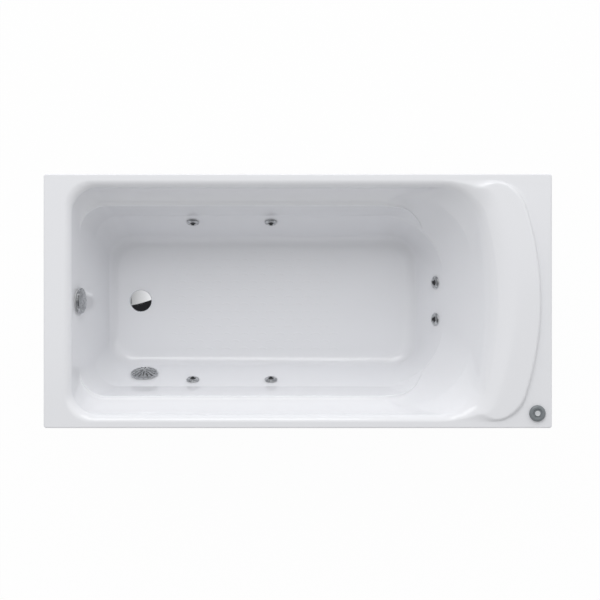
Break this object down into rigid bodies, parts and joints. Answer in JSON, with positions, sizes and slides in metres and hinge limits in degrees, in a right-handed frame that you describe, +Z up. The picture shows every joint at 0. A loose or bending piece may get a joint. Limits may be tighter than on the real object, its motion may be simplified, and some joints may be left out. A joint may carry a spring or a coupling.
{
  "type": "jetted bathtub",
  "caption": "Rectangular acrylic bathtub with moulded armrests and backrest, water jets, intake grille, air control, pump, waste and overflow on a levelling steel cradle.",
  "frame": {"origin": "on the floor under the middle of the tub", "axes": "+X along the tub from the foot end with the waste to the backrest, +Y across to the far long side, +Z up"},
  "size_m": [1.5, 0.75, 0.592],
  "materials": {
    "tub_acrylic": "glossy white sanitary acrylic",
    "board": "raw particle board and pine",
    "galvanised_steel": "galvanised",
    "bright_fasteners": "zinc plated",
    "foot_plastic": "moulded pad on a threaded stem",
    "chrome_trim": "bright chrome",
    "fitting_plastic": "moulded white plastic",
    "gasket_rubber": "soft black rubber",
    "pipe_plastic": "extruded white pipe",
    "nozzle_plastic": "dark grey ball",
    "pump_plastic": "black glass-filled plastic",
    "motor_metal": "cast and painted",
    "shaft_steel": "ground",
    "control_grey": "satin grey",
    "button_pale": "pale grey",
    "box_plastic": "light grey"
  },
  "bodies": {
    "tub": {"tub_shell": "tub_acrylic", "base_board": "board", "rim_battens": "board", "frame_rails": "galvanised_steel", "frame_cross_foot": "galvanised_steel", "frame_cross_middle": "galvanised_steel", "frame_cross_head": "galvanised_steel", "frame_uprights": "galvanised_steel", "frame_bolts": "bright_fasteners", "foot_locknuts": "bright_fasteners", "waste_flange": "chrome_trim", "waste_body": "fitting_plastic", "waste_gasket": "gasket_rubber", "trap": "fitting_plastic", "overflow_body": "fitting_plastic", "overflow_gasket": "gasket_rubber", "overflow_collar": "fitting_plastic", "overflow_pipe": "fitting_plastic", "suction_cover": "chrome_trim", "suction_fitting": "fitting_plastic", "suction_gasket": "gasket_rubber", "suction_body": "pipe_plastic", "suction_pipe": "pipe_plastic", "jet_bodies": "pipe_plastic", "jet_gaskets": "gasket_rubber", "jet_wall_fittings": "fitting_plastic", "water_manifold": "pipe_plastic", "air_manifold": "pipe_plastic", "pump_volute": "pump_plastic", "pump_union_nuts": "pipe_plastic", "pump_motor_casing": "motor_metal", "pump_fan_cover": "pump_plastic", "pump_bracket": "galvanised_steel", "control_housing": "fitting_plastic", "control_nut": "fitting_plastic", "control_box": "box_plastic"},
    "overflow_knob": {"overflow_knob": "chrome_trim"},
    "drain_plug": {"drain_plug": "chrome_trim"},
    "jet_ring_1": {"jet_ring_1": "chrome_trim"},
    "jet_nozzle_1": {"jet_nozzle_1": "nozzle_plastic"},
    "jet_ring_2": {"jet_ring_2": "chrome_trim"},
    "jet_nozzle_2": {"jet_nozzle_2": "nozzle_plastic"},
    "jet_ring_3": {"jet_ring_3": "chrome_trim"},
    "jet_nozzle_3": {"jet_nozzle_3": "nozzle_plastic"},
    "jet_ring_4": {"jet_ring_4": "chrome_trim"},
    "jet_nozzle_4": {"jet_nozzle_4": "nozzle_plastic"},
    "jet_ring_5": {"jet_ring_5": "chrome_trim"},
    "jet_nozzle_5": {"jet_nozzle_5": "nozzle_plastic"},
    "jet_ring_6": {"jet_ring_6": "chrome_trim"},
    "jet_nozzle_6": {"jet_nozzle_6": "nozzle_plastic"},
    "control_ring": {"control_ring": "control_grey"},
    "start_button": {"start_button": "button_pale"},
    "pump_rotor": {"pump_shaft": "shaft_steel", "pump_impeller": "pump_plastic", "pump_fan": "pump_plastic"},
    "levelling_foot_1": {"levelling_foot_1": "foot_plastic"},
    "levelling_foot_2": {"levelling_foot_2": "foot_plastic"},
    "levelling_foot_3": {"levelling_foot_3": "foot_plastic"},
    "levelling_foot_4": {"levelling_foot_4": "foot_plastic"},
    "levelling_foot_5": {"levelling_foot_5": "foot_plastic"}
  },
  "joints": [
    {"name": "overflow_knob_turn", "type": "hinge", "parent": "tub", "child": "overflow_knob", "pos_m": [-0.65945, 0, 0.505], "axis": [0.9863, 0, 0.165], "range_deg": [0, 90]},
    {"name": "drain_plug_lift", "type": "slide", "parent": "tub", "child": "drain_plug", "axis": [0, 0, 1], "range_m": [0, 0.01]},
    {"name": "jet_ring_turn_1", "type": "hinge", "parent": "tub", "child": "jet_ring_1", "pos_m": [-0.331, -0.25024, 0.305], "axis": [0, 0.9272, 0.3746], "range_deg": [0, 90]},
    {"name": "jet_nozzle_tilt_1", "type": "hinge", "parent": "jet_ring_1", "child": "jet_nozzle_1", "pos_m": [-0.331, -0.25117, 0.30462], "axis": [1, 0, 0], "range_deg": [-15, 15]},
    {"name": "jet_ring_turn_2", "type": "hinge", "parent": "tub", "child": "jet_ring_2", "pos_m": [-0.085, -0.25024, 0.305], "axis": [0, 0.9272, 0.3746], "range_deg": [0, 90]},
    {"name": "jet_nozzle_tilt_2", "type": "hinge", "parent": "jet_ring_2", "child": "jet_nozzle_2", "pos_m": [-0.085, -0.25117, 0.30462], "axis": [1, 0, 0], "range_deg": [-15, 15]},
    {"name": "jet_ring_turn_3", "type": "hinge", "parent": "tub", "child": "jet_ring_3", "pos_m": [-0.331, 0.25024, 0.305], "axis": [0, -0.9272, 0.3746], "range_deg": [0, 90]},
    {"name": "jet_nozzle_tilt_3", "type": "hinge", "parent": "jet_ring_3", "child": "jet_nozzle_3", "pos_m": [-0.331, 0.25117, 0.30462], "axis": [1, 0, 0], "range_deg": [-15, 15]},
    {"name": "jet_ring_turn_4", "type": "hinge", "parent": "tub", "child": "jet_ring_4", "pos_m": [-0.085, 0.25024, 0.305], "axis": [0, -0.9272, 0.3746], "range_deg": [0, 90]},
    {"name": "jet_nozzle_tilt_4", "type": "hinge", "parent": "jet_ring_4", "child": "jet_nozzle_4", "pos_m": [-0.085, 0.25117, 0.30462], "axis": [1, 0, 0], "range_deg": [-15, 15]},
    {"name": "jet_ring_turn_5", "type": "hinge", "parent": "tub", "child": "jet_ring_5", "pos_m": [0.43455, -0.058, 0.308], "axis": [-0.8908, 0.0207, 0.454], "range_deg": [0, 90]},
    {"name": "jet_nozzle_tilt_5", "type": "hinge", "parent": "jet_ring_5", "child": "jet_nozzle_5", "pos_m": [0.43544, -0.05802, 0.30755], "axis": [0.0232, 0.9997, 0], "range_deg": [-15, 15]},
    {"name": "jet_ring_turn_6", "type": "hinge", "parent": "tub", "child": "jet_ring_6", "pos_m": [0.43455, 0.058, 0.308], "axis": [-0.8908, -0.0207, 0.454], "range_deg": [0, 90]},
    {"name": "jet_nozzle_tilt_6", "type": "hinge", "parent": "jet_ring_6", "child": "jet_nozzle_6", "pos_m": [0.43544, 0.05802, 0.30755], "axis": [-0.0232, 0.9997, 0], "range_deg": [-15, 15]},
    {"name": "control_ring_turn", "type": "hinge", "parent": "tub", "child": "control_ring", "pos_m": [0.706, -0.331, 0.58], "axis": [0, 0, 1], "range_deg": [0, 180]},
    {"name": "start_button_press", "type": "slide", "parent": "tub", "child": "start_button", "axis": [0, 0, -1], "range_m": [0, 0.003], "stiffness_N_per_m": 2000},
    {"name": "pump_rotor_spin", "type": "hinge", "parent": "tub", "child": "pump_rotor", "pos_m": [0.6, -0.12, 0.23316], "axis": [0, 1, 0], "continuous": true},
    {"name": "levelling_foot_1_screw", "type": "slide", "parent": "tub", "child": "levelling_foot_1", "axis": [0, 0, 1], "range_m": [-0.015, 0.01]},
    {"name": "levelling_foot_2_screw", "type": "slide", "parent": "tub", "child": "levelling_foot_2", "axis": [0, 0, 1], "range_m": [-0.015, 0.01]},
    {"name": "levelling_foot_3_screw", "type": "slide", "parent": "tub", "child": "levelling_foot_3", "axis": [0, 0, 1], "range_m": [-0.015, 0.01]},
    {"name": "levelling_foot_4_screw", "type": "slide", "parent": "tub", "child": "levelling_foot_4", "axis": [0, 0, 1], "range_m": [-0.015, 0.01]},
    {"name": "levelling_foot_5_screw", "type": "slide", "parent": "tub", "child": "levelling_foot_5", "axis": [0, 0, 1], "range_m": [-0.015, 0.01]}
  ],
  "couplings": [
    {"joint": "drain_plug_lift", "follows": "overflow_knob_turn", "m_per_rad": 0.0063662}
  ]
}
